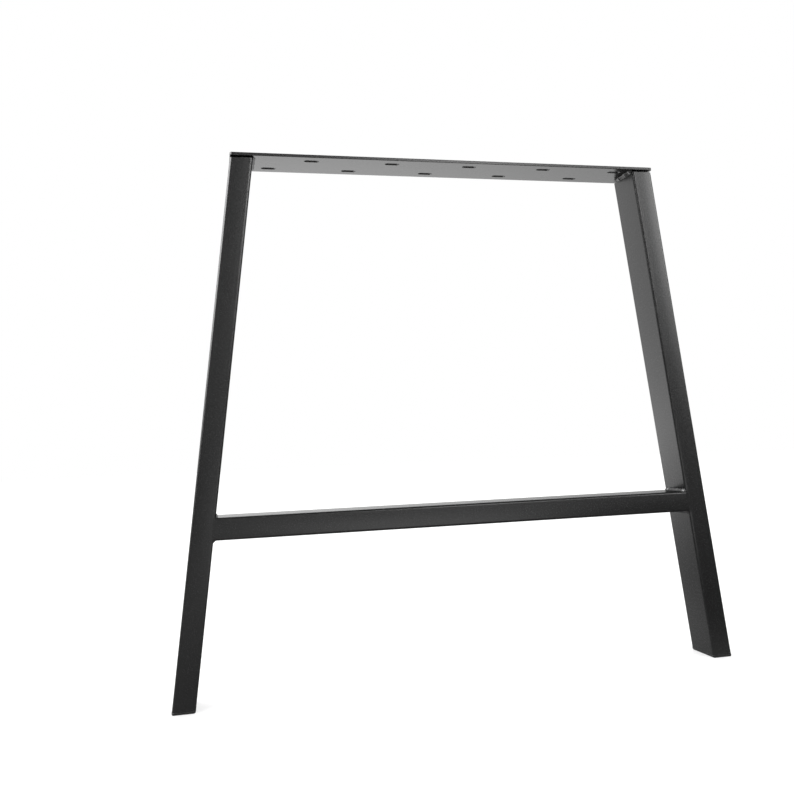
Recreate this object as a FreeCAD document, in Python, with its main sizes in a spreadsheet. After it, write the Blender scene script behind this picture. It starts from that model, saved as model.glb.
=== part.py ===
import FreeCAD, Part
import math
import os
import Sketcher

# Trestle table leg: two leaning legs and a crossbar of one rectangular steel tube,
# welded under a slotted flat bar that carries the table top.
# Millimetres. X runs along the plate, Y through the frame's depth, Z up.
# The origin is on the floor, midway between the feet.

# Driving dimensions: alias, value, what it measures
sizes = [
    ("overall_height", 720.0, "floor to the top of the plate"),
    ("foot_width", 800.0, "over the outer faces of the legs, at the floor"),
    ("shoulder_width", 600.0, "over the outer faces of the legs, under the plate"),
    ("tube_depth", 60.0, "broad side of the tube, along Y"),
    ("tube_width", 30.0, "narrow side of the tube"),
    ("tube_wall", 2.0, "wall of the tube"),
    ("tube_corner", 3.0, "outer corner radius of the tube"),
    ("plate_thickness", 4.0, "flat bar, along Z"),
    ("plate_side_overhang", 2.5, "flat bar beyond the legs, at the front and back"),
    ("plate_corner", 2.0, "radius of the four corners in plan"),
    ("plate_edge", 0.5, "eased edges of the flat bar"),
    ("slot_length", 20.0, "end to end"),
    ("slot_width", 7.0, "clear width for a wood screw"),
    ("slot_count", 5, "slots in each of the two rows"),
    ("slot_end_margin", 52.5, "plate's end to the centre of the first slot"),
    ("slot_side_margin", 15.0, "plate's edge to the centre line of a row"),
    ("bar_underside", 218.0, "height of the crossbar's lower face"),
    ("cap_head", 4.0, "thickness of the foot cap under the tube"),
    ("cap_edge", 2.0, "rounding of the foot cap's lower edge"),
    ("cap_plug", 22.0, "reach of the plug into the tube"),
    ("cap_wall", 2.0, "wall of the plug"),
    ("cap_gap", 1.2, "between the plug and the inside of the tube"),
    ("fin_gap", 0.1, "between a fin's rim and the inside of the tube"),
    ("fin_thickness", 1.2, "one gripping fin"),
    ("fin_pitch", 5.0, "between fins"),
    ("fin_count", 3, "fins on each plug"),
    ("plate_weld", 5.5, "throat side of the beads under the plate"),
    ("bar_weld", 5.0, "throat side of the beads at the crossbar"),
    ("weld_crown", 0.9, "bulge of a bead over its chord"),
    ("weld_end", 1.5, "slope at a bead's ends"),
]

# Expressions that several pieces share
lean = (
    "atan((sizes.foot_width - sizes.shoulder_width) / 2"
    " / (sizes.overall_height - sizes.plate_thickness))"
)
plate_underside = "(sizes.overall_height - sizes.plate_thickness)"
bar_top = "(sizes.bar_underside + sizes.tube_width)"
leg_length = f"({plate_underside} / cos({lean}))"
# the flat bar ends flush with the legs' outer faces
plate_length = "sizes.shoulder_width"
plate_depth = "(sizes.tube_depth + 2 * sizes.plate_side_overhang)"
# the ten slots step evenly along the plate, by turns in the back and the front row
slot_step = f"(({plate_length} - 2 * sizes.slot_end_margin) / (2 * sizes.slot_count - 1))"
leg_flat = "(sizes.tube_depth - 2 * sizes.tube_corner)"

left, right = -1, 1
side_names = {left: "left", right: "right"}

doc = FreeCAD.newDocument("trestle_table_leg")
sheet = doc.addObject("Spreadsheet::Sheet", "sizes")


def fill_sheet():
    for row, (alias, value, note) in enumerate(sizes, 1):
        sheet.set(f"A{row}", alias)
        sheet.set(f"B{row}", str(value))
        sheet.set(f"C{row}", note)
        sheet.setAlias(f"B{row}", alias)
    doc.recompute()


def number(expression):
    result = sheet.evalExpression(expression)
    return float(getattr(result, "Value", result))


# Bodies, sketches and features

def new_body(name):
    body = doc.addObject("PartDesign::Body", name)
    body.Label = name
    return body


def leaning_body(name, side):
    # local Z runs up the leg's centre line from the floor; local X stays across the leg
    body = new_body(name)
    axis_x = f"(sizes.foot_width / 2 - sizes.tube_width / (2 * cos({lean})))"
    body.Placement.Rotation = FreeCAD.Rotation(FreeCAD.Vector(0, 1, 0), -side * number(lean))
    body.setExpression("Placement.Base.x", f"{side} * {axis_x}")
    body.setExpression("Placement.Rotation.Angle", lean)
    body.setExpression("Placement.Rotation.Axis.y", f"{-side}")
    return body


def new_sketch(body, name, role):
    sketch = body.newObject("Sketcher::SketchObject", name)
    plane = next(f for f in body.Origin.OriginFeatures if f.Role == role)
    sketch.AttachmentSupport = [(plane, "")]
    sketch.MapMode = "FlatFace"
    return sketch


def bind(sketch, kind, references, name, expression):
    index = sketch.addConstraint(Sketcher.Constraint(kind, *references, number(expression)))
    sketch.renameConstraint(index, name)
    sketch.setExpression(f"Constraints.{name}", expression)


def point(x, y):
    return FreeCAD.Vector(x, y, 0)


def add_rounded_rectangle(sketch, label, width, depth, radius):
    # four sides and four tangent corner arcs, centred on the sketch's origin
    a, b, r = number(width) / 2, number(depth) / 2, number(radius)
    corners = [(a - r, r - b), (a - r, b - r), (r - a, b - r), (r - a, r - b)]
    normal = FreeCAD.Vector(0, 0, 1)
    arcs = []
    for quarter, (x, y) in enumerate(corners, -1):
        start = quarter * math.pi / 2
        circle = Part.Circle(point(x, y), normal, r)
        arcs.append(sketch.addGeometry(Part.ArcOfCircle(circle, start, start + math.pi / 2)))
    lines = []
    for first, second in zip(arcs, arcs[1:] + arcs[:1]):
        begin, finish = sketch.getPoint(first, 2), sketch.getPoint(second, 1)
        lines.append(sketch.addGeometry(Part.LineSegment(begin, finish)))
    for arc, line, following in zip(arcs, lines, arcs[1:] + arcs[:1]):
        sketch.addConstraint(Sketcher.Constraint("Tangent", arc, 2, line, 1))
        sketch.addConstraint(Sketcher.Constraint("Tangent", line, 2, following, 1))
    for upright, level in zip(lines[0::2], lines[1::2]):
        sketch.addConstraint(Sketcher.Constraint("Vertical", upright))
        sketch.addConstraint(Sketcher.Constraint("Horizontal", level))
    for arc in arcs[1:]:
        sketch.addConstraint(Sketcher.Constraint("Equal", arcs[0], arc))
    sketch.addConstraint(Sketcher.Constraint("Symmetric", arcs[0], 3, arcs[2], 3, -1, 1))
    bind(sketch, "DistanceX", (lines[2], 1, lines[0], 1), f"{label}_width", width)
    bind(sketch, "DistanceY", (lines[3], 1, lines[1], 1), f"{label}_depth", depth)
    bind(sketch, "Radius", (arcs[0],), f"{label}_radius", radius)


def pin_point(sketch, geometry, end, label, x, y):
    # a vertex held at its distances from the sketch's origin
    bind(sketch, "DistanceX", (-1, 1, geometry, end), f"{label}_x", x)
    bind(sketch, "DistanceY", (-1, 1, geometry, end), f"{label}_y", y)


def add_polygon(sketch, vertices):
    places = [point(number(x), number(y)) for x, y in vertices]
    lines = []
    for begin, finish in zip(places, places[1:] + places[:1]):
        lines.append(sketch.addGeometry(Part.LineSegment(begin, finish)))
    for line, following in zip(lines, lines[1:] + lines[:1]):
        sketch.addConstraint(Sketcher.Constraint("Coincident", line, 2, following, 1))
    for index, (line, (x, y)) in enumerate(zip(lines, vertices)):
        pin_point(sketch, line, 1, f"corner{index}", x, y)


def add_corner_fill(sketch, first, corner, last, bulge, radius):
    # two straight sides that meet at a corner, closed by an arc across their free ends;
    # bulge is how far the arc passes outside its chord, seen from the corner
    first_at, corner_at, last_at = [point(number(x), number(y)) for x, y in (first, corner, last)]
    middle = (first_at + last_at) / 2
    crest = middle + (middle - corner_at).normalize() * number(bulge)
    first_line = sketch.addGeometry(Part.LineSegment(first_at, corner_at))
    last_line = sketch.addGeometry(Part.LineSegment(corner_at, last_at))
    arc = sketch.addGeometry(Part.Arc(last_at, crest, first_at))
    to_last, to_first = [sketch.getPoint(arc, 1).distanceToPoint(at) for at in (last_at, first_at)]
    last_end, first_end = (1, 2) if to_last < to_first else (2, 1)
    sketch.addConstraint(Sketcher.Constraint("Coincident", first_line, 2, last_line, 1))
    sketch.addConstraint(Sketcher.Constraint("Coincident", last_line, 2, arc, last_end))
    sketch.addConstraint(Sketcher.Constraint("Coincident", first_line, 1, arc, first_end))
    pin_point(sketch, first_line, 1, "first", *first)
    pin_point(sketch, first_line, 2, "corner", *corner)
    pin_point(sketch, last_line, 2, "last", *last)
    bind(sketch, "Radius", (arc,), "arc_radius", radius)


def add_slot(sketch, label, centre_x, centre_y):
    # a straight slot along X: two sides and two half rounds
    x, y = number(centre_x), number(centre_y)
    r = number("sizes.slot_width") / 2
    straight = number("sizes.slot_length") / 2 - r
    normal = FreeCAD.Vector(0, 0, 1)
    quarter = math.pi / 2
    near = sketch.addGeometry(
        Part.ArcOfCircle(Part.Circle(point(x + straight, y), normal, r), -quarter, quarter)
    )
    far = sketch.addGeometry(
        Part.ArcOfCircle(Part.Circle(point(x - straight, y), normal, r), quarter, 3 * quarter)
    )
    upper = sketch.addGeometry(Part.LineSegment(sketch.getPoint(near, 2), sketch.getPoint(far, 1)))
    lower = sketch.addGeometry(Part.LineSegment(sketch.getPoint(far, 2), sketch.getPoint(near, 1)))
    for first, second in ((near, upper), (upper, far), (far, lower), (lower, near)):
        sketch.addConstraint(Sketcher.Constraint("Tangent", first, 2, second, 1))
    sketch.addConstraint(Sketcher.Constraint("Equal", near, far))
    sketch.addConstraint(Sketcher.Constraint("Horizontal", upper))
    bind(sketch, "Radius", (near,), f"{label}_radius", "sizes.slot_width / 2")
    half_straight = "(sizes.slot_length - sizes.slot_width) / 2"
    pin_point(sketch, near, 3, f"{label}_near", f"{centre_x} + {half_straight}", centre_y)
    bind(sketch, "DistanceX", (-1, 1, far, 3), f"{label}_far_x", f"{centre_x} - {half_straight}")


def extrude(body, kind, name, sketch, length=None, symmetric=False):
    # a pad or a pocket; no length means a pocket right through
    before = 0 if body.Tip is None else body.Shape.Volume
    feature = body.newObject(f"PartDesign::{kind}", name)
    feature.Profile = sketch
    if symmetric:
        feature.SideType = "Symmetric"
    if length is None:
        feature.Type = "ThroughAll"
    else:
        feature.setExpression("Length", length)
    doc.recompute()
    if kind == "Pocket" and not body.Shape.Volume < before:
        raise RuntimeError(f"{body.Label}: {name} removed nothing")
    return feature


def cut_beyond(body, name, side, height, way, span="2 * sizes.tube_width"):
    # mitre: removes what lies above (way 1) or below (way -1) a level height, square through Y
    sketch = new_sketch(body, f"{name}_profile", "XZ_Plane")
    reach = "sizes.tube_width"
    rise = f"{reach} * tan({lean})"
    level = f"({height}) / cos({lean})"
    far = f"{level} + {way} * {span}"
    at_left, at_right = f"{level} + {side} * {rise}", f"{level} - {side} * {rise}"
    add_polygon(sketch, [(f"-{reach}", at_left), (reach, at_right), (reach, far), (f"-{reach}", far)])
    extrude(body, "Pocket", name, sketch, symmetric=True)


def ease_edges(body, kind, name, edges, size):
    # a fillet or a chamfer on edges of the body's last feature
    base = body.Tip
    feature = body.newObject(f"PartDesign::{kind}", name)
    feature.Base = (base, edges)
    feature.setExpression({"Fillet": "Radius", "Chamfer": "Size"}[kind], size)
    doc.recompute()
    return feature


def edges_where(shape, wanted):
    return [f"Edge{i}" for i, edge in enumerate(shape.Edges, 1) if wanted(edge)]


# Pieces

def build_top_plate():
    body = new_body("top_plate")
    body.setExpression("Placement.Base.z", plate_underside)
    outline = new_sketch(body, "plate_outline", "XY_Plane")
    add_rounded_rectangle(outline, "plate", plate_length, plate_depth, "sizes.plate_corner")
    extrude(body, "Pad", "flat_bar", outline, "sizes.plate_thickness")
    rims = edges_where(body.Tip.Shape, lambda e: e.BoundBox.ZLength < e.Length / 2)
    ease_edges(body, "Chamfer", "eased_edges", rims, "sizes.plate_edge")

    slots = new_sketch(body, "first_slots", "XY_Plane")
    back_x = f"(sizes.slot_end_margin - {plate_length} / 2)"
    row_y = f"({plate_depth} / 2 - sizes.slot_side_margin)"
    add_slot(slots, "front", f"({back_x} + {slot_step})", f"-{row_y}")
    add_slot(slots, "back", back_x, row_y)
    cut = extrude(body, "Pocket", "slot_pair", slots, symmetric=True)
    rows = body.newObject("PartDesign::LinearPattern", "slot_rows")
    rows.Originals = [cut]
    rows.Direction = (slots, ["H_Axis"])
    rows.Mode = "Spacing"
    rows.setExpression("Offset", f"2 * {slot_step}")
    rows.setExpression("Occurrences", "sizes.slot_count")
    body.Tip = rows
    doc.recompute()
    return body


def new_tube_section(body, role, across, along):
    # the rolled tube's wall between two rounded rectangles with one centre for each corner
    section = new_sketch(body, "tube_section", role)
    add_rounded_rectangle(section, "outer", across, along, "sizes.tube_corner")
    inner_sides = [f"{side} - 2 * sizes.tube_wall" for side in (across, along)]
    add_rounded_rectangle(section, "inner", *inner_sides, "sizes.tube_corner - sizes.tube_wall")
    return section


def build_leg(side):
    body = leaning_body(f"leg_{side_names[side]}", side)
    section = new_tube_section(body, "XY_Plane", "sizes.tube_width", "sizes.tube_depth")
    extrude(body, "Pad", "tube", section, f"{leg_length} + sizes.tube_width")
    cut_beyond(body, "shoulder_mitre", side, plate_underside, 1)
    cut_beyond(body, "foot_mitre", side, "sizes.cap_head", -1)
    return body


def inner_face_x(side, height):
    # where the leg's inner face stands at a height
    return (
        f"({side} * (sizes.foot_width / 2 - sizes.tube_width / cos({lean})"
        f" - ({height}) * tan({lean})))"
    )


def build_crossbar():
    # the same tube laid with its narrow side upright, both ends mitred to the legs
    body = new_body("crossbar")
    middle = "sizes.bar_underside + sizes.tube_width / 2"
    reach = "sizes.tube_width"
    body.setExpression("Placement.Base.z", middle)
    section = new_tube_section(body, "YZ_Plane", "sizes.tube_depth", "sizes.tube_width")
    extrude(body, "Pad", "tube", section, "sizes.foot_width", symmetric=True)
    for side in (left, right):
        sketch = new_sketch(body, f"mitre_{side_names[side]}_profile", "XZ_Plane")
        far = f"{side} * sizes.foot_width"
        near_upper = inner_face_x(side, f"{middle} + {reach}")
        near_lower = inner_face_x(side, f"{middle} - {reach}")
        corners = [(near_lower, f"-{reach}"), (near_upper, reach), (far, reach), (far, f"-{reach}")]
        add_polygon(sketch, corners)
        extrude(body, "Pocket", f"mitre_{side_names[side]}", sketch, symmetric=True)
    return body


def plug_outline(gap):
    return (
        f"sizes.tube_width - 2 * (sizes.tube_wall + {gap})",
        f"sizes.tube_depth - 2 * (sizes.tube_wall + {gap})",
        f"max(sizes.tube_corner - sizes.tube_wall - {gap}; sizes.tube_wall / 4)",
    )


def build_foot_cap(side):
    # a moulded glide: a head as wide as the tube and a hollow plug with gripping fins
    body = leaning_body(f"foot_cap_{side_names[side]}", side)
    head = new_sketch(body, "head_outline", "XY_Plane")
    add_rounded_rectangle(head, "head", "sizes.tube_width", "sizes.tube_depth", "sizes.tube_corner")
    extrude(body, "Pad", "head", head, "2 * (sizes.cap_head + sizes.tube_width)", symmetric=True)
    cut_beyond(body, "head_top", side, "sizes.cap_head", 1)

    plug = new_sketch(body, "plug_section", "XY_Plane")
    add_rounded_rectangle(plug, "outer", *plug_outline("sizes.cap_gap"))
    add_rounded_rectangle(plug, "inner", *plug_outline("(sizes.cap_gap + sizes.cap_wall)"))
    extrude(body, "Pad", "plug", plug, "sizes.cap_head + sizes.cap_plug")

    fin = new_sketch(body, "fin_section", "XY_Plane")
    fin.AttachmentOffset = FreeCAD.Placement(point(0, 0), FreeCAD.Rotation())
    fin.setExpression("AttachmentOffset.Base.z", "sizes.cap_head + sizes.fin_pitch")
    add_rounded_rectangle(fin, "rim", *plug_outline("sizes.fin_gap"))
    add_rounded_rectangle(fin, "root", *plug_outline("(sizes.cap_gap + sizes.cap_wall / 2)"))
    first_fin = extrude(body, "Pad", "fin", fin, "sizes.fin_thickness")

    fins = body.newObject("PartDesign::LinearPattern", "fins")
    fins.Originals = [first_fin]
    fins.Direction = (fin, ["N_Axis"])
    fins.Mode = "Spacing"
    fins.setExpression("Offset", "sizes.fin_pitch")
    fins.setExpression("Occurrences", "sizes.fin_count")
    body.Tip = fins
    doc.recompute()

    cut_beyond(body, "sole", side, "0", -1)
    lowest = min(body.Shape.Faces, key=lambda face: face.CenterOfMass.z)
    rim = [edge.CenterOfMass for edge in lowest.Edges]
    to_local = body.Placement.inverse()
    rim = [to_local.multVec(place) for place in rim]
    near = number("sizes.tube_wall") / 100
    edges = edges_where(
        body.Tip.Shape, lambda e: any(e.CenterOfMass.distanceToPoint(p) < near for p in rim)
    )
    ease_edges(body, "Fillet", "lower_edge", edges, "sizes.cap_edge")
    return body


# Each bead: where it lies, the height of its corner, above (1) or below (-1) it, its size
bead_places = [
    ("plate", plate_underside, -1, "sizes.plate_weld"),
    ("bar_top", bar_top, 1, "sizes.bar_weld"),
    ("bar_under", "sizes.bar_underside", -1, "sizes.bar_weld"),
]


def build_bead(name, side, height, way, throat):
    # a fillet weld in the corner between the leg's inner face and a level face,
    # above it (way 1) or below it (way -1): two legs and a crowned face, run along Y
    body = new_body(name)
    sketch = new_sketch(body, "bead_section", "XZ_Plane")
    corner = (inner_face_x(side, height), f"({height})")
    on_leg = (
        f"({corner[0]} - {side * way} * {throat} * sin({lean}))",
        f"({corner[1]} + {way} * {throat} * cos({lean}))",
    )
    on_level = (f"({corner[0]} - {side} * {throat})", corner[1])
    half_chord = f"({throat} * sin((90 deg - {way} * {lean}) / 2))"
    radius = f"({half_chord} ^ 2 + sizes.weld_crown ^ 2) / (2 * sizes.weld_crown)"

    add_corner_fill(sketch, on_leg, corner, on_level, "sizes.weld_crown", radius)
    extrude(body, "Pad", "bead", sketch, leg_flat, symmetric=True)

    def is_end_arc(edge):
        return isinstance(edge.Curve, Part.Circle) and edge.BoundBox.YLength < edge.Length / 2

    rims = edges_where(body.Tip.Shape, is_end_arc)
    ease_edges(body, "Chamfer", "bead_ends", rims, "sizes.weld_end")
    return body


def build_seam(side, face_name, face_way):
    # weld metal ground flush: it fills the hollow between the leg's round corner,
    # the crossbar's end and the plane of the front or back face
    body = leaning_body(f"seam_{face_name}_{side_names[side]}", side)
    sketch = new_sketch(body, "seam_section", "XY_Plane")
    half_width = f"({-side} * sizes.tube_width / 2)"
    half_depth = f"({face_way} * sizes.tube_depth / 2)"
    inset_x = f"({half_width} + {side} * sizes.tube_corner)"
    inset_y = f"({half_depth} - {face_way} * sizes.tube_corner)"
    on_face, tip, on_wall = (inset_x, half_depth), (half_width, half_depth), (half_width, inset_y)
    sagitta = "sizes.tube_corner * (1 - cos(45 deg))"
    add_corner_fill(sketch, on_face, tip, on_wall, f"-{sagitta}", "sizes.tube_corner")
    extrude(body, "Pad", "fill", sketch, f"{bar_top} / cos({lean}) + sizes.tube_width")
    cut_beyond(body, "fill_top", side, bar_top, 1)
    cut_beyond(body, "fill_bottom", side, "sizes.bar_underside", -1, "2 * sizes.bar_underside")
    return body


def build_all():
    bodies = [build_top_plate(), build_crossbar()]
    for side in (left, right):
        name = side_names[side]
        bodies.append(build_leg(side))
        bodies.append(build_foot_cap(side))
        for place, height, way, throat in bead_places:
            bodies.append(build_bead(f"weld_{place}_{name}", side, height, way, throat))
        bodies.append(build_seam(side, "front", -1))
        bodies.append(build_seam(side, "back", 1))
    return bodies


def check_and_write(bodies):
    doc.recompute()
    for item in doc.Objects:
        if {"Invalid", "Error"} & set(item.State):
            raise RuntimeError(f"{item.Name} failed: {item.State}")
    os.makedirs("parts", exist_ok=True)
    for body in bodies:
        shape = body.Shape
        if shape.isNull() or not shape.isValid() or len(shape.Solids) != 1:
            raise RuntimeError(f"{body.Label} is not one valid solid")
    for body in bodies:
        body.Shape.exportStep(f"parts/{body.Label}.step")
        box = body.Shape.optimalBoundingBox()
        print(
            f"{body.Label:24s} volume {body.Shape.Volume:10.1f}"
            f"  x {box.XMin:8.2f} {box.XMax:8.2f}"
            f"  y {box.YMin:7.2f} {box.YMax:7.2f}"
            f"  z {box.ZMin:7.2f} {box.ZMax:7.2f}"
        )


fill_sheet()
check_and_write(build_all())
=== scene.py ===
# Trestle table leg: leaning legs and a crossbar of rectangular steel tube under a slotted flat bar.
# Metres, in the frame's own axes: X along the flat bar, Y through the depth, Z up from the floor.
import math

import bmesh
import bpy
import numpy as np
from mathutils import Matrix, Vector


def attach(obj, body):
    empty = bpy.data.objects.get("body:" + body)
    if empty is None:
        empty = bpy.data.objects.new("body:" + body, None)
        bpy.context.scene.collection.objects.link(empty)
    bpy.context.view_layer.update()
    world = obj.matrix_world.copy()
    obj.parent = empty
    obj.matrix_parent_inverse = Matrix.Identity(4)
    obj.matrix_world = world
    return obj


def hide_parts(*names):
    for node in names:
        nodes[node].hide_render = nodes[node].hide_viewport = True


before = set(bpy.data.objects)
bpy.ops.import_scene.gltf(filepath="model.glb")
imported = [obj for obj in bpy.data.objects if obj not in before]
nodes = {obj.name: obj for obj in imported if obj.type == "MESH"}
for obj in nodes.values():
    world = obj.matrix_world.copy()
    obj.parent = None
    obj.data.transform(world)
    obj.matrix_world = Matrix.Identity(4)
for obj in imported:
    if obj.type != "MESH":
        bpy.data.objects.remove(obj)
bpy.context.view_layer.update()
scene = bpy.context.scene
mm = 0.001
left, right = -1, 1
sideNames = {left: "Left", right: "Right"}
nodeSides = {left: "left", right: "right"}
print("frame loaded:", len(nodes), "nodes")

# ---- sizes that several pieces share, in millimetres
tube = dict(depth=60.0, width=30.0, wall=2.0, corner=3.0)
capHead = 4.0  # the foot cap's part below the tube
stance = dict(footWidth=800.0, shoulderWidth=600.0, legTop=716.0, barUnder=218.0, barTop=248.0)
slope = (stance["footWidth"] - stance["shoulderWidth"]) / 2 / stance["legTop"]  # run over rise
lean = math.atan(slope)
levelWidth = tube["width"] / math.cos(lean)  # the leaning tube's width, cut level


def innerX(side, z):
    # where a leg's inner face stands at height z
    return side * (stance["footWidth"] / 2 - levelWidth - z * slope)


def centreX(side, z):
    # where a leg's centre line stands at height z
    return side * (stance["footWidth"] / 2 - levelWidth / 2 - z * slope)


# ---- mesh helpers
meshing = dict(mergeWithin=0.001, sameHeight=0.01)  # mm


def gridFaces(rows, columns, closedRows=False):
    # quads between neighbouring points of a grid; every row is a closed ring, and the last row joins the
    # first one where closedRows says so
    r = np.arange(rows if closedRows else rows - 1)
    c = np.arange(columns)
    r, c = [a.ravel() for a in np.meshgrid(r, c, indexing="ij")]
    nextR, nextC = (r + 1) % rows, (c + 1) % columns
    return np.stack([r * columns + c, r * columns + nextC,
                     nextR * columns + nextC, nextR * columns + c], 1)


def endRings(rows, columns):
    # the first and the last row of a grid, each closed by one face
    return [list(range(columns)), list(range((rows - 1) * columns, rows * columns))]


def makePiece(name, points, faces, material, replaced, sharp=35, fillAt=()):
    # one closed mesh from points in millimetres, riding on the frame in place of its CAD nodes. Edges
    # sharper than the angle stay sharp; fillAt are heights at which open rings bound a face with holes
    mesh = bpy.data.meshes.new(name)
    mesh.from_pydata((points.reshape(-1, 3) * mm).tolist(), [], faces)
    mesh.materials.append(material)
    work = bmesh.new()
    work.from_mesh(mesh)
    bmesh.ops.remove_doubles(work, verts=work.verts, dist=meshing["mergeWithin"] * mm)
    for height in fillAt:
        rims = [e for e in work.edges if e.is_boundary
                and abs(e.verts[0].co.z - height * mm) < meshing["sameHeight"] * mm]
        bmesh.ops.triangle_fill(work, use_beauty=True, edges=rims)
    bmesh.ops.recalc_face_normals(work, faces=work.faces)
    work.to_mesh(mesh)
    work.free()
    mesh.shade_smooth()
    mesh.set_sharp_from_angle(angle=math.radians(sharp))
    piece = bpy.data.objects.new(name, mesh)
    scene.collection.objects.link(piece)
    shading = piece.modifiers.new("flatFacesStayFlat", "WEIGHTED_NORMAL")
    shading.keep_sharp = True
    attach(piece, "root")
    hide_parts(*replaced)
    return piece


# ---- material helpers

def linear(hexColour):
    # each channel of an sRGB hex value with its gamma undone, and alpha 1
    channels = [int(hexColour[i:i + 2], 16) / 255 for i in (1, 3, 5)]
    return [c / 12.92 if c <= 0.04045 else ((c + 0.055) / 1.055) ** 2.4 for c in channels] + [1.0]


def addNode(tree, kind, links=None, values=None, **settings):
    # one node: settings are its own properties, values its sockets' numbers, links its inputs
    node = tree.nodes.new(kind)
    for key, value in settings.items():
        setattr(node, key, value)
    for key, value in (values or {}).items():
        node.inputs[key].default_value = value
    for key, socket in (links or {}).items():
        tree.links.new(socket, node.inputs[key])
    return node


def newTree(name):
    material = bpy.data.materials.new(name)
    material.use_nodes = True
    material.node_tree.nodes.clear()
    return material, material.node_tree


# ---- powder coat: black polyester powder sprayed on steel and baked. It flows into a satin film
# with a soft orange peel of about 2.5 mm and a fine pigment grain; a new frame shows no wear.
coat = dict(
    colour="#1d1d1d", deepColour="#191919", roughness=0.25, roughnessSpread=0.03,
    filmIndex=1.5, cloudWave=55.0,      # polyester; mm, uneven film
    peelWave=2.6, peelHeight=0.008,     # mm
    grainWave=0.9, grainHeight=0.0012,  # mm, coarser than the real grain so that it shows
)
# the same film over a rippled weld: it gathers in the valleys, so its gloss changes more. The index is
# above the film's own, so that the small ripples show
weldCoat = dict(
    colour="#1d1d1d", deepColour="#141414", roughness=0.32, roughnessSpread=0.08,
    filmIndex=1.65, cloudWave=5.0, peelWave=1.4, peelHeight=0.02, grainWave=0.7, grainHeight=0.003,
)
# painted shade: the walls inside the punched slots get a darker, matt copy of the film, which stands in
# for the shade that falls in the slots
slotShadeCoat = dict(
    colour="#0c0c0c", deepColour="#060606", roughness=0.5, roughnessSpread=0.05,
    filmIndex=1.4, cloudWave=20.0, peelWave=1.5, peelHeight=0.005, grainWave=0.9, grainHeight=0.002,
)
# foot cap: polyethylene moulded in a spark-eroded tool, which gives a fine even matt
cap = dict(
    colour="#1a1a1a", deepColour="#141414", roughness=0.56, roughnessSpread=0.06,
    filmIndex=1.5, cloudWave=30.0, peelWave=1.2, peelHeight=0.006, grainWave=0.6, grainHeight=0.004,
)
noise = dict(detail=1.5, low=0.3, high=0.7)  # the levels at which the roughness is least and most


def makeFinish(name, settings):
    # clouds of colour, grain in the gloss, and two heights: long peel waves under fine grain
    material, tree = newTree(name)
    place = addNode(tree, "ShaderNodeTexCoord").outputs["Object"]
    waves = {}
    for key in ("cloud", "peel", "grain"):
        waves[key] = addNode(tree, "ShaderNodeTexNoise", {"Vector": place},
                             {"Scale": 1 / (settings[key + "Wave"] * mm),
                              "Detail": noise["detail"]}).outputs["Fac"]
    tone = addNode(tree, "ShaderNodeMix", {"Factor": waves["cloud"]},
                   {6: linear(settings["deepColour"]), 7: linear(settings["colour"])}, data_type="RGBA")
    matt, spread = settings["roughness"], settings["roughnessSpread"]
    gloss = addNode(tree, "ShaderNodeMapRange", {"Value": waves["grain"]},
                    {"From Min": noise["low"], "From Max": noise["high"],
                     "To Min": matt - spread, "To Max": matt + spread})
    wavy = addNode(tree, "ShaderNodeBump", {"Height": waves["peel"]},
                   {"Distance": settings["peelHeight"] * mm})
    fine = addNode(tree, "ShaderNodeBump", {"Height": waves["grain"], "Normal": wavy.outputs["Normal"]},
                   {"Distance": settings["grainHeight"] * mm})
    shader = addNode(tree, "ShaderNodeBsdfPrincipled",
                     {"Base Color": tone.outputs[2], "Roughness": gloss.outputs["Result"],
                      "Normal": fine.outputs["Normal"]}, {"Metallic": 0.0, "IOR": settings["filmIndex"]})
    addNode(tree, "ShaderNodeOutputMaterial", {"Surface": shader.outputs["BSDF"]})
    return material


powderCoat = makeFinish("powderCoatSatinBlack", coat)
powderCoatOverWeld = makeFinish("powderCoatOverWeld", weldCoat)
powderCoatSlotShade = makeFinish("powderCoatSlotShade", slotShadeCoat)
capPlastic = makeFinish("mouldedPolyethyleneBlack", cap)
for name, node in nodes.items():
    node.data.materials[0] = capPlastic if name.startswith("foot_cap") else powderCoat
print("materials made")

# ---- tubes: a rounded rectangle carried along the leg or the bar, outside and back along the inside
skin = dict(
    crown=0.22,                        # mm, the middle of a rolled face over its edges
    cornerReach=4.6, cornerPower=3.0,  # the rolled corner eases into the faces: a superellipse
    plateGap=2.0,                      # mm, left between a tube and the flat bar and bridged by the bead
    flatSteps=10, arcSteps=14, steps=24,
)


def tubeOutline(width, depth, corner, crown=0.0, power=2.0):
    # four sides, each a shallow parabola, and four round corners, whose two offsets raised to the power
    # add up to one; rows are (across, along Y)
    quarter = np.arange(4) * np.pi / 2
    normal = np.stack([np.cos(quarter), np.sin(quarter)], 1)[:, None]
    along = np.stack([-np.sin(quarter), np.cos(quarter)], 1)[:, None]
    reach = np.array([width, depth, width, depth])[:, None, None] / 2
    half = np.array([depth, width, depth, width])[:, None, None] / 2 - corner
    s = np.linspace(-1, 1, skin["flatSteps"] + 1)[None, :, None]
    flat = normal * (reach - crown * s ** 2) + along * half * s
    a = np.linspace(0, np.pi / 2, skin["arcSteps"] + 1)[1:-1][None, :, None]
    turn = np.cos(a) ** (2 / power) * normal + np.sin(a) ** (2 / power) * along
    arc = normal * (reach - corner) + along * half + (corner - crown) * turn
    return np.concatenate([flat, arc], 1).reshape(-1, 2)


wall = tube["wall"]
outside = tubeOutline(tube["width"], tube["depth"], skin["cornerReach"], skin["crown"],
                      skin["cornerPower"])
inside = tubeOutline(tube["width"] - 2 * wall, tube["depth"] - 2 * wall, tube["corner"] - wall)


def leanRows(side, outline, heights):
    # level cuts through the leaning tube: the outline stretched across, moved along the centre line
    z = np.asarray(heights, float)[:, None] + 0 * outline[:, 0]
    x = centreX(side, z) + side * outline[:, 0] / math.cos(lean)
    return np.stack([x, outline[:, 1] + 0 * x, z], 2)


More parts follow.
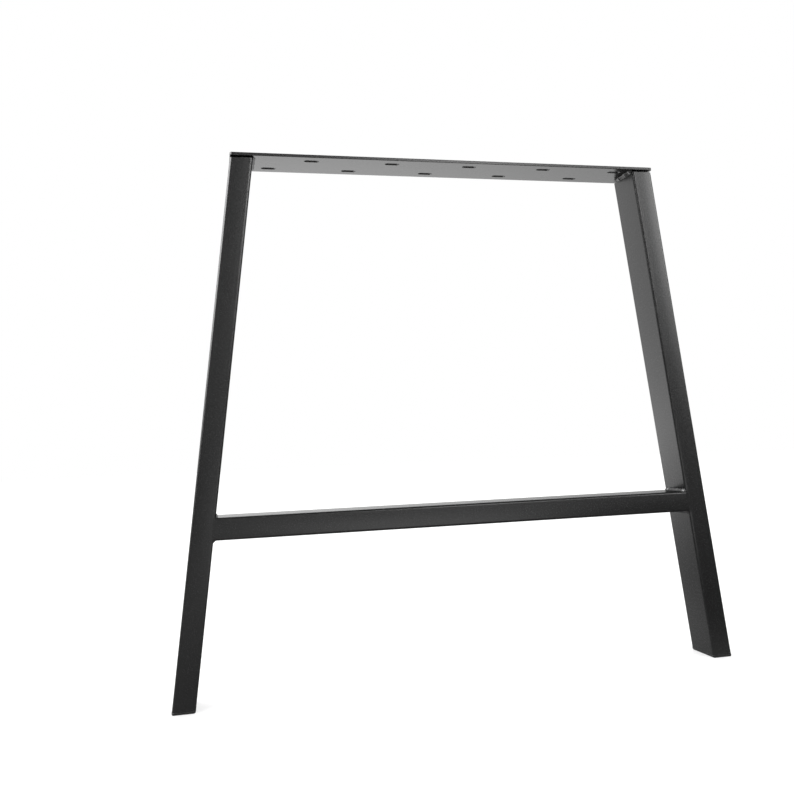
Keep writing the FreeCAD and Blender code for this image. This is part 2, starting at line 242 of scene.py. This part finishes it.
def barRows(outline, shares):
    # each row is a share of the way from the middle to the legs, so that both ends follow the lean
    z = (stance["barUnder"] + stance["barTop"]) / 2 + outline[:, 0] + 0 * shares[:, None]
    x = shares[:, None] * innerX(right, z)
    return np.stack([x, outline[:, 1] + 0 * x, z], 2)


def makeTube(name, rows, node):
    faces = gridFaces(*rows.shape[:2], closedRows=True).tolist()
    makePiece(name, rows, faces, powderCoat, [node])


for side in (left, right):
    up = np.linspace(capHead, stance["legTop"] - skin["plateGap"], skin["steps"])
    legRows = np.concatenate([leanRows(side, outside, up), leanRows(side, inside, up[::-1])])
    makeTube(f"leg{sideNames[side]}", legRows, f"leg_{nodeSides[side]}")
share = np.linspace(-1, 1, 2 * skin["steps"])
makeTube("crossbar", np.concatenate([barRows(outside, share), barRows(inside, share[::-1])]), "crossbar")
print("tubes made")

# ---- foot cap: the tube's outline drawn in by an inset at each height, from the gate mark over the
# sole, up the head, round the rim, up the finned plug and down into its hollow
footCap = dict(
    clear=0.05, edge=2.6, rim=0.4, leastCorner=0.5,
    recess=0.5, recessInset=5.5, lip=0.6, lipHeight=0.15,
    gateRadius=2.2, gateDepth=0.4, gateInner=0.6, gateFloor=0.8,  # the last two are shares of the radius
    plugInset=3.2, plugTop=26.0, hollowInset=5.2,
    finInset=2.1, finFirst=9.0, finPitch=5.0, finThickness=1.2, finCount=3,
)


def quarterTurn(steps=7):
    return np.linspace(0, np.pi / 2, steps)


def makeFootCap(side):
    # sole, edge, rim and plug hold (inset, height)
    c, a = footCap, quarterTurn()
    sole = [(c["recessInset"] + c["lip"], c["recess"]), (c["recessInset"], c["lipHeight"]),
            (c["recessInset"] - c["lip"], 0.0)]
    edge = np.stack([c["clear"] + c["edge"] * (1 - np.sin(a)), c["edge"] * (1 - np.cos(a))], 1)
    rim = np.stack([c["clear"] + c["rim"] * (1 - np.cos(a)), capHead - c["rim"] * (1 - np.sin(a))], 1)
    plug = [(c["plugInset"], capHead)]
    for low in c["finFirst"] + c["finPitch"] * np.arange(c["finCount"]):
        high = low + c["finThickness"]
        plug += [(c["plugInset"], low), (c["finInset"], low),
                 (c["finInset"], high), (c["plugInset"], high)]
    plug += [(c["plugInset"], c["plugTop"]), (c["hollowInset"], c["plugTop"]),
             (c["hollowInset"], capHead)]
    angle = np.arctan2(outside[:, 1], outside[:, 0])
    gate = c["gateRadius"] * np.stack([np.cos(angle), np.sin(angle)], 1)
    deep = c["recess"] + c["gateDepth"]
    dimple = [(c["gateInner"], deep), (c["gateFloor"], deep), (1.0, c["recess"])]
    rows = [leanRows(side, gate * grow, [z]) for grow, z in dimple]
    for inset, z in np.concatenate([sole, edge, rim, plug]):
        corner = max(tube["corner"] - inset, c["leastCorner"])
        outline = tubeOutline(tube["width"] - 2 * inset, tube["depth"] - 2 * inset, corner)
        rows.append(leanRows(side, outline, [z]))
    rows = np.concatenate(rows)
    faces = gridFaces(*rows.shape[:2]).tolist() + endRings(*rows.shape[:2])
    makePiece(f"footCap{sideNames[side]}", rows, faces, capPlastic,
              [f"foot_cap_{nodeSides[side]}"], sharp=50)


for side in (left, right):
    makeFootCap(side)
print("foot caps made")

# ---- flat bar: an outline and ten slots with rounded edges, the two faces filled between them
plate = dict(
    length=600.0, depth=65.0, under=716.0, top=720.0, corner=3.0, edge=0.6,
    slotLength=20.0, slotWidth=7.4, slotEdge=0.1, slotPoints=17,
    slotCount=10, slotStep=55.0, slotEnd=52.5, slotRow=17.5,
    rimWidth=5.0, uprightBelow=0.5,  # mm, and the share of Z in an upright face's normal
)


def edgeProfile(radius):
    # (inset, height) round the upper edge, down the side and round the lower edge
    a = quarterTurn()
    over = np.stack([radius * (1 - np.sin(a)), plate["top"] - radius * (1 - np.cos(a))], 1)
    return np.concatenate([over, over[::-1] * [1, -1] + [0, plate["top"] + plate["under"]]])


def slotOutline(grow):
    # two half rounds joined by straight sides
    radius = plate["slotWidth"] / 2 + grow
    straight = (plate["slotLength"] - plate["slotWidth"]) / 2
    a = np.linspace(-np.pi / 2, np.pi / 2, plate["slotPoints"])
    near = np.stack([straight + radius * np.cos(a), radius * np.sin(a)], 1)
    return np.concatenate([near, -near])


def stackRows(outlines, heights):
    return np.stack([np.column_stack([line, np.full(len(line), z)])
                     for line, z in zip(outlines, heights)])


def makeTopPlate():
    insets, heights = edgeProfile(plate["edge"]).T
    rim = [tubeOutline(plate["length"] - 2 * i, plate["depth"] - 2 * i, plate["corner"] - i)
           for i in insets]
    walls = [stackRows(rim, heights)]
    insets, heights = edgeProfile(plate["slotEdge"]).T
    slot = stackRows([slotOutline(i) for i in insets], heights)
    for index in range(plate["slotCount"]):
        x = plate["slotEnd"] + plate["slotStep"] * index - plate["length"] / 2
        walls.append(slot + [x, plate["slotRow"] * (-1) ** index, 0])
    faces, start = [], 0
    for wallRows in walls:
        faces += (gridFaces(*wallRows.shape[:2]) + start).tolist()
        start += wallRows.shape[0] * wallRows.shape[1]
    points = np.concatenate([wallRows.reshape(-1, 3) for wallRows in walls])
    piece = makePiece("topPlate", points, faces, powderCoat, ["top_plate"],
                      fillAt=(plate["top"], plate["under"]))
    # the walls of the slots, the upright faces further inside the outline than the rim, get the darker
    # coat as painted shade
    mesh = piece.data
    mesh.materials.append(powderCoatSlotShade)
    centres, normals = np.empty(len(mesh.polygons) * 3), np.empty(len(mesh.polygons) * 3)
    mesh.polygons.foreach_get("center", centres)
    mesh.polygons.foreach_get("normal", normals)
    within = np.abs(centres.reshape(-1, 3)[:, :2] / mm) < [
        plate["length"] / 2 - plate["rimWidth"], plate["depth"] / 2 - plate["rimWidth"]]
    upright = np.abs(normals.reshape(-1, 3)[:, 2]) < plate["uprightBelow"]
    mesh.polygons.foreach_set("material_index", (within.all(1) & upright).astype(np.int32))


makeTopPlate()
print("flat bar made")

# ---- weld beads: a fillet's section carried along the corner between the leg's inner face and a level
# face, and round the tubes' own corners at both ends. Each pool of the run leaves one bowed ripple.
bead = dict(
    pitch=3.0, bow=0.6,   # mm from ripple to ripple, and pitches by which a ripple's middle runs ahead
    uneven=0.2, tip=6.0,  # the share of the size that swings, and mm over which an end tapers
    sink=0.25, root=0.7,  # mm, how deep the toes and the root lie in the steel
    shorter=(1.0, 0.58, 0.35), weight=(0.6, 0.25, 0.15),
    across=15, perRipple=12,
)
# pairs are (left, right): the hand was steadier on the left. front and back are how far a bead runs on
# round the tubes' corners, in corner radii, and below zero it ends short of them. hollow above 1 makes
# its face concave. ripple and lump are heights, and wave is the spacing of the larger lumps.
beads = [
    dict(node="weld_plate", name="weldUnderPlate", height=716.0, way=-1, size=(3.0, 4.0), hollow=1.0,
         front=(0.3, 0.5), back=(0.2, -1.6), ripple=(0.1, 0.22), lump=(0.1, 1.1), wave=18.0, seed=3),
    dict(node="weld_bar_top", name="weldOverBar", height=248.0, way=1, size=(2.0, 3.6), hollow=1.0,
         front=(0.0, 1.2), back=(0.3, 0.3), ripple=(0.3, 0.42), lump=(0.3, 1.0), wave=14.0, seed=8),
    dict(node="weld_bar_under", name="weldUnderBar", height=218.0, way=-1, size=(3.4, 3.8), hollow=1.5,
         front=(0.7, 0.7), back=(0.3, 0.3), ripple=(0.42, 0.42), lump=(0.7, 0.7), wave=19.0, seed=5),
]


def unevenness(length, wave, seed):
    # a slow wave and two shorter, weaker ones of random phase, for the hand's swing along the run
    phase = np.random.default_rng(seed).uniform(0, 2 * np.pi, 3)
    shorter, weight = np.array(bead["shorter"]), np.array(bead["weight"])
    return np.sin(2 * np.pi * length[:, None] / (wave * shorter) + phase) @ weight


def makeBead(run, side):
    # for each step of the run: the corner's point, the ways along both faces and their normals
    radius = tube["corner"]
    flat = tube["depth"] / 2 - radius
    hand = int(side == right)
    start, end = -flat - radius * run["front"][hand], flat + radius * run["back"][hand]
    count = int((end - start) / bead["pitch"] * bead["perRipple"])
    length = np.linspace(start, end, count)
    turn = (np.abs(length) - flat).clip(0) / radius  # angle round the tubes' corners
    outward = np.sign(length)
    y = np.clip(length, -flat, flat) + outward * radius * np.sin(turn)
    drop = radius * (1 - np.cos(turn))
    zero, one, way = 0 * y, 1 + 0 * y, run["way"]
    underPlate = run["node"] == "weld_plate"
    z = run["height"] - (0 if underPlate else way) * drop
    corner = np.stack([innerX(side, z) + side * drop, y, z], 1)
    sideways = np.stack([zero, outward, zero], 1) * np.sin(turn)[:, None]
    facing = np.cos(turn)[:, None]
    onLeg = way * np.stack([-side * math.sin(lean) * one, zero, math.cos(lean) * one], 1)
    legNormal = np.stack([-side * math.cos(lean) * one, zero, -math.sin(lean) * one], 1)
    legNormal = legNormal * facing + sideways
    away = np.stack([-side * one, zero, zero], 1)
    level = np.stack([zero, zero, way * one], 1)
    onLevel = away * facing + sideways if underPlate else away
    levelNormal = level if underPlate else level * facing + sideways
    proud = legNormal + levelNormal
    proud /= np.linalg.norm(proud, axis=1)[:, None]

    # the section from toe to toe, q, with the ripples and the lumps on top
    nearEnd = np.minimum(length - start, end - length) / bead["tip"]
    taper = np.sqrt(1 - (1 - nearEnd.clip(0, 1)) ** 2)
    swing = unevenness(length, run["wave"], run["seed"] + side)
    size = (run["size"][hand] * (1 + bead["uneven"] * swing) * taper)[:, None]
    q = np.linspace(0, 1, bead["across"])[None, :]
    belly = 4 * q * (1 - q)
    ripple = np.abs(np.cos(np.pi * (length[:, None] / bead["pitch"] + bead["bow"] * (1 - belly))))
    height = (run["ripple"][hand] * ripple * np.sqrt(belly)
              + run["lump"][hand] * swing.clip(0)[:, None] * belly)
    height *= taper[:, None]
    q, height, size = q[..., None], height[..., None], size[..., None]
    legWay = size * onLeg[:, None] - bead["sink"] * legNormal[:, None]
    levelWay = size * onLevel[:, None] - bead["sink"] * levelNormal[:, None]
    face = corner[:, None] + legWay * (1 - q) ** run["hollow"] + levelWay * q ** run["hollow"]
    face += proud[:, None] * height
    root = corner[:, None] - bead["root"] * proud[:, None]
    rows = np.concatenate([root, face], 1)
    faces = gridFaces(*rows.shape[:2]).tolist() + endRings(*rows.shape[:2])
    makePiece(f"{run['name']}{sideNames[side]}", rows, faces, powderCoatOverWeld,
              [f"{run['node']}_{nodeSides[side]}"], sharp=60)


for side in (left, right):
    for run in beads:
        makeBead(run, side)
print("welds made")

# ---- stage: white paper on the floor and behind the frame, which the camera sees white all round
stage = dict(
    floorRadius=14.0, firstRing=0.04, rings=24, spokes=96,
    paper="#989898", shadowShare=0.5, nearGlow=0.58, glowFrom=1.2, glowTo=4.0, ambient=0.3,
)
# what gloss sees of the studio: a dim room, a bright backdrop low behind the frame, and softboxes with
# soft edges. Angles are in degrees: turn from straight in front to the right, rise above the level.
# Past the depth againFrom gloss mirrors gloss, and sees only the share again of all this.
mirrored = dict(room=0.1, backdrop=1.18, facing=(-0.5, 0.87, 0.0), backdropFrom=0.0, backdropTo=1.1,
                lowTo=0.5, highFrom=0.8, againFrom=1.5, again=0.25)
# each box starts, is full, fades and ends at these angles
softboxes = [
    dict(turn=(25, 39, 50, 66), rise=(2, 18, 21, 29), strength=9.9),         # the key, on the right
    dict(turn=(12, 16, 19, 23), rise=(2, 15, 19, 28), strength=11.2),        # a narrow strip beside it
    dict(turn=(-36, -20, 4, 20), rise=(-12, 8, 22, 40), strength=0.45),      # the wall behind the camera
    dict(turn=(-114, -102, -42, -30), rise=(6, 20, 56, 70), strength=12.0),  # high on the left
]
# the same for the floor, painted as a glow that only gloss sees: bright behind the frame, dim in front,
# with a painted streak and two painted pools of light
mirroredFloor = dict(
    near=0.1, behind=1.87, behindFrom=-0.3, behindTo=2.3,
    side=0.4, sideFrom=0.0, sideTo=2.5, far=0.72, farFrom=3.0, farTo=5.0,
    streak=(-14, 4, 20, 33), streakFrom=0.5, streakFull=1.0, streakFade=1.5, streakTo=5.0,
    streakNear=1.65, streakFar=0.7,
    poolShape=(1, 0.5, 0),  # a pool is twice as deep as wide
)
paintedPools = [
    dict(centre=(-0.5, -1.2, 0), reach=1.0, strength=0.5),
    dict(centre=(0.33, 0.08, 0), reach=0.3, strength=0.3),
]


def rayKinds(tree):
    # the camera's rays, the rays of gloss and glass, and whether gloss mirrors gloss
    path = addNode(tree, "ShaderNodeLightPath")
    shiny = addNode(tree, "ShaderNodeMath", {0: path.outputs["Is Glossy Ray"],
                                             1: path.outputs["Is Transmission Ray"]}, operation="MAXIMUM")
    again = addNode(tree, "ShaderNodeMath", {0: path.outputs["Glossy Depth"]},
                    {1: mirrored["againFrom"]}, operation="GREATER_THAN")
    return path.outputs["Is Camera Ray"], shiny.outputs[0], again.outputs[0]


def ramp(tree, value, low, high, bottom=0.0, top=1.0):
    return addNode(tree, "ShaderNodeMapRange", {"Value": value},
                   {"From Min": low, "From Max": high, "To Min": bottom, "To Max": top},
                   interpolation_type="SMOOTHSTEP").outputs["Result"]


def combine(tree, operation, first, second):
    return addNode(tree, "ShaderNodeMath", {0: first, 1: second}, operation=operation).outputs[0]


def window(tree, value, start, full, fade, end):
    # rises from 0 to 1 between the first two angles and falls back between the last two
    start, full, fade, end = [math.radians(angle) for angle in (start, full, fade, end)]
    return combine(tree, "MULTIPLY", ramp(tree, value, start, full),
                   ramp(tree, value, fade, end, 1.0, 0.0))


def turnOf(tree, axes):
    # the angle from straight in front to the right
    front = addNode(tree, "ShaderNodeMath", {0: axes["Y"]}, {1: -1.0}, operation="MULTIPLY").outputs[0]
    return combine(tree, "ARCTAN2", axes["X"], front)


def makeFloor(settings, shine):
    # a flat disc: rings of points at growing radii round the middle
    angle = np.linspace(0, 2 * np.pi, settings["spokes"], endpoint=False)
    radius = settings["floorRadius"] * np.linspace(settings["firstRing"], 1, settings["rings"]) ** 2
    rows = radius[:, None, None] * np.stack([np.cos(angle), np.sin(angle), 0 * angle], 1)
    faces = gridFaces(*rows.shape[:2])[:, ::-1].tolist() + endRings(*rows.shape[:2])[:1]
    mesh = bpy.data.meshes.new("floor")
    mesh.from_pydata(rows.reshape(-1, 3).tolist(), [], faces)
    floor = bpy.data.objects.new("floor", mesh)
    scene.collection.objects.link(floor)

    material, tree = newTree("whitePaper")
    mesh.materials.append(material)
    place = addNode(tree, "ShaderNodeTexCoord").outputs["Object"]
    axes = addNode(tree, "ShaderNodeSeparateXYZ", {0: place}).outputs
    distance = addNode(tree, "ShaderNodeVectorMath", {0: place}, operation="LENGTH").outputs["Value"]
    byCamera, byGloss, again = rayKinds(tree)
    # for the camera: a diffuse share that takes the shadow, and a glow that fills it up to white
    shade = addNode(tree, "ShaderNodeBsdfDiffuse",
                    values={"Color": [settings["shadowShare"]] * 3 + [1.0]})
    fill = ramp(tree, distance, settings["glowFrom"], settings["glowTo"], settings["nearGlow"], 1.0)
    glow = addNode(tree, "ShaderNodeEmission", {"Strength": fill})
    white = addNode(tree, "ShaderNodeAddShader", {0: shade.outputs[0], 1: glow.outputs[0]})
    # for gloss: a painted reflection, brighter the further behind the frame, less so to the right and
    # very far away
    behind = ramp(tree, axes["Y"], shine["behindFrom"], shine["behindTo"], 0.0, shine["behind"])
    behind = combine(tree, "MULTIPLY", behind, ramp(tree, axes["X"], shine["sideFrom"], shine["sideTo"],
                                                    1.0, shine["side"]))
    behind = combine(tree, "MULTIPLY", behind, ramp(tree, distance, shine["farFrom"], shine["farTo"],
                                                    1.0, shine["far"]))
    total = addNode(tree, "ShaderNodeMath", {0: behind}, {1: shine["near"]}, operation="ADD").outputs[0]
    # and a painted streak of light toward the camera's side, strongest a little way off
    streak = combine(tree, "MULTIPLY", window(tree, turnOf(tree, axes), *shine["streak"]),
                     ramp(tree, distance, shine["streakFrom"], shine["streakFull"]))
    streak = combine(tree, "MULTIPLY", streak,
                     ramp(tree, distance, shine["streakFade"], shine["streakTo"],
                          shine["streakNear"], shine["streakFar"]))
    total = combine(tree, "ADD", total, streak)
    # painted pools of light, seen only in gloss
    for pool in paintedPools:
        offset = addNode(tree, "ShaderNodeVectorMath", {0: place}, {1: pool["centre"]},
                         operation="SUBTRACT")
        shaped = addNode(tree, "ShaderNodeVectorMath", {0: offset.outputs[0]}, {1: shine["poolShape"]},
                         operation="MULTIPLY")
        away = addNode(tree, "ShaderNodeVectorMath", {0: shaped.outputs[0]}, operation="LENGTH")
        light = ramp(tree, away.outputs["Value"], 0.0, pool["reach"], pool["strength"], 0.0)
        total = combine(tree, "ADD", total, light)
    total = combine(tree, "MULTIPLY", total, ramp(tree, again, 0.0, 1.0, 1.0, mirrored["again"]))
    # the painted reflection glows from the floor itself, not from a lamp
    paintedSheen = addNode(tree, "ShaderNodeEmission", {"Strength": total})
    # for the rest: grey paper, so that the frame gets little light from below
    paper = addNode(tree, "ShaderNodeBsdfDiffuse", values={"Color": linear(settings["paper"])})
    lit = addNode(tree, "ShaderNodeMixShader", {0: byGloss, 1: paper.outputs[0], 2: paintedSheen.outputs[0]})
    mix = addNode(tree, "ShaderNodeMixShader", {0: byCamera, 1: lit.outputs[0], 2: white.outputs[0]})
    addNode(tree, "ShaderNodeOutputMaterial", {"Surface": mix.outputs[0]})


def makeWorld(settings, shine):
    world = bpy.data.worlds.new("studio")
    scene.world = world
    world.use_nodes = True
    tree = world.node_tree
    tree.nodes.clear()
    direction = addNode(tree, "ShaderNodeTexCoord").outputs["Generated"]
    axes = addNode(tree, "ShaderNodeSeparateXYZ", {0: direction}).outputs
    byCamera, byGloss, again = rayKinds(tree)
    toward = addNode(tree, "ShaderNodeVectorMath", {0: direction}, {1: shine["facing"]},
                     operation="DOT_PRODUCT").outputs["Value"]
    backdrop = ramp(tree, toward, shine["backdropFrom"], shine["backdropTo"], 0.0, shine["backdrop"])
    backdrop = combine(tree, "MULTIPLY", backdrop, ramp(tree, axes["Z"], shine["lowTo"],
                                                        shine["highFrom"], 1.0, 0.0))
    total = addNode(tree, "ShaderNodeMath", {0: backdrop}, {1: shine["room"]}, operation="ADD").outputs[0]
    turn = turnOf(tree, axes)
    rise = addNode(tree, "ShaderNodeMath", {0: axes["Z"]}, operation="ARCSINE").outputs[0]
    for box in softboxes:
        seen = combine(tree, "MULTIPLY", window(tree, turn, *box["turn"]),
                       window(tree, rise, *box["rise"]))
        light = addNode(tree, "ShaderNodeMath", {0: seen}, {1: box["strength"]}, operation="MULTIPLY")
        total = combine(tree, "ADD", total, light.outputs[0])
    total = combine(tree, "MULTIPLY", total, ramp(tree, again, 0.0, 1.0, 1.0, shine["again"]))
    toOthers = addNode(tree, "ShaderNodeMix", {0: byGloss, 3: total}, {2: settings["ambient"]},
                       data_type="FLOAT").outputs[0]
    strength = combine(tree, "MAXIMUM", byCamera, toOthers)
    sky = addNode(tree, "ShaderNodeBackground", {"Strength": strength}, {"Color": (1, 1, 1, 1)})
    addNode(tree, "ShaderNodeOutputWorld", {"Surface": sky.outputs[0]})


makeFloor(stage, mirroredFloor)
makeWorld(stage, mirrored)

# ---- lamps: metres and watts; each looks at its aim. They give the diffuse light and the floor's shadow,
# and gloss sees the soft-edged boxes above in their stead
lamps = [
    dict(name="keyRight", place=(1.25, -2.3, 2.15), aim=(0.1, 0, 0.45), size=(1.2, 1.2), power=45),
    dict(name="sideLeft", place=(-2.1, -1.9, 2.2), aim=(0, 0, 0.45), size=(1.0, 1.4), power=35),
    dict(name="overhead", place=(0, 1.0, 3.2), aim=(0, 0.5, 0), size=(3.0, 3.0), power=120),
]
for lamp in lamps:
    data = bpy.data.lights.new(lamp["name"], "AREA")
    data.shape = "RECTANGLE"
    data.size, data.size_y = lamp["size"]
    data.energy = lamp["power"]
    light = bpy.data.objects.new(lamp["name"], data)
    light.location = lamp["place"]
    toAim = Vector(lamp["aim"]) - Vector(lamp["place"])
    light.rotation_euler = toAim.to_track_quat("-Z", "Y").to_euler()
    light.visible_camera = False
    light.visible_glossy = False
    scene.collection.objects.link(light)

# ---- camera: the photograph's own place, turn and lens
view = dict(place=(-0.33542, -1.15937, 0.33133), yaw=13.154, pitch=0.228, roll=-2.298,  # metres, degrees
            lens=38.818, sensor=36.0, shift=(-0.02019, 0.05616))                        # mm, widths
yaw, pitch, roll = [math.radians(view[key]) for key in ("yaw", "pitch", "roll")]
ahead = Vector((math.sin(yaw) * math.cos(pitch), math.cos(yaw) * math.cos(pitch), math.sin(pitch)))
level = Vector((math.cos(yaw), -math.sin(yaw), 0))
up = level.cross(ahead)
across = math.cos(roll) * level + math.sin(roll) * up
upward = -math.sin(roll) * level + math.cos(roll) * up
cameraData = bpy.data.cameras.new("camera")
cameraData.sensor_width = view["sensor"]
cameraData.lens = view["lens"]
cameraData.shift_x, cameraData.shift_y = view["shift"]
camera = bpy.data.objects.new("camera", cameraData)
turn = Matrix((across, upward, -ahead)).transposed()
camera.matrix_world = Matrix.Translation(view["place"]) @ turn.to_4x4()
scene.collection.objects.link(camera)
scene.camera = camera
scene.view_settings.view_transform = "Standard"
print("stage, lamps and camera made")
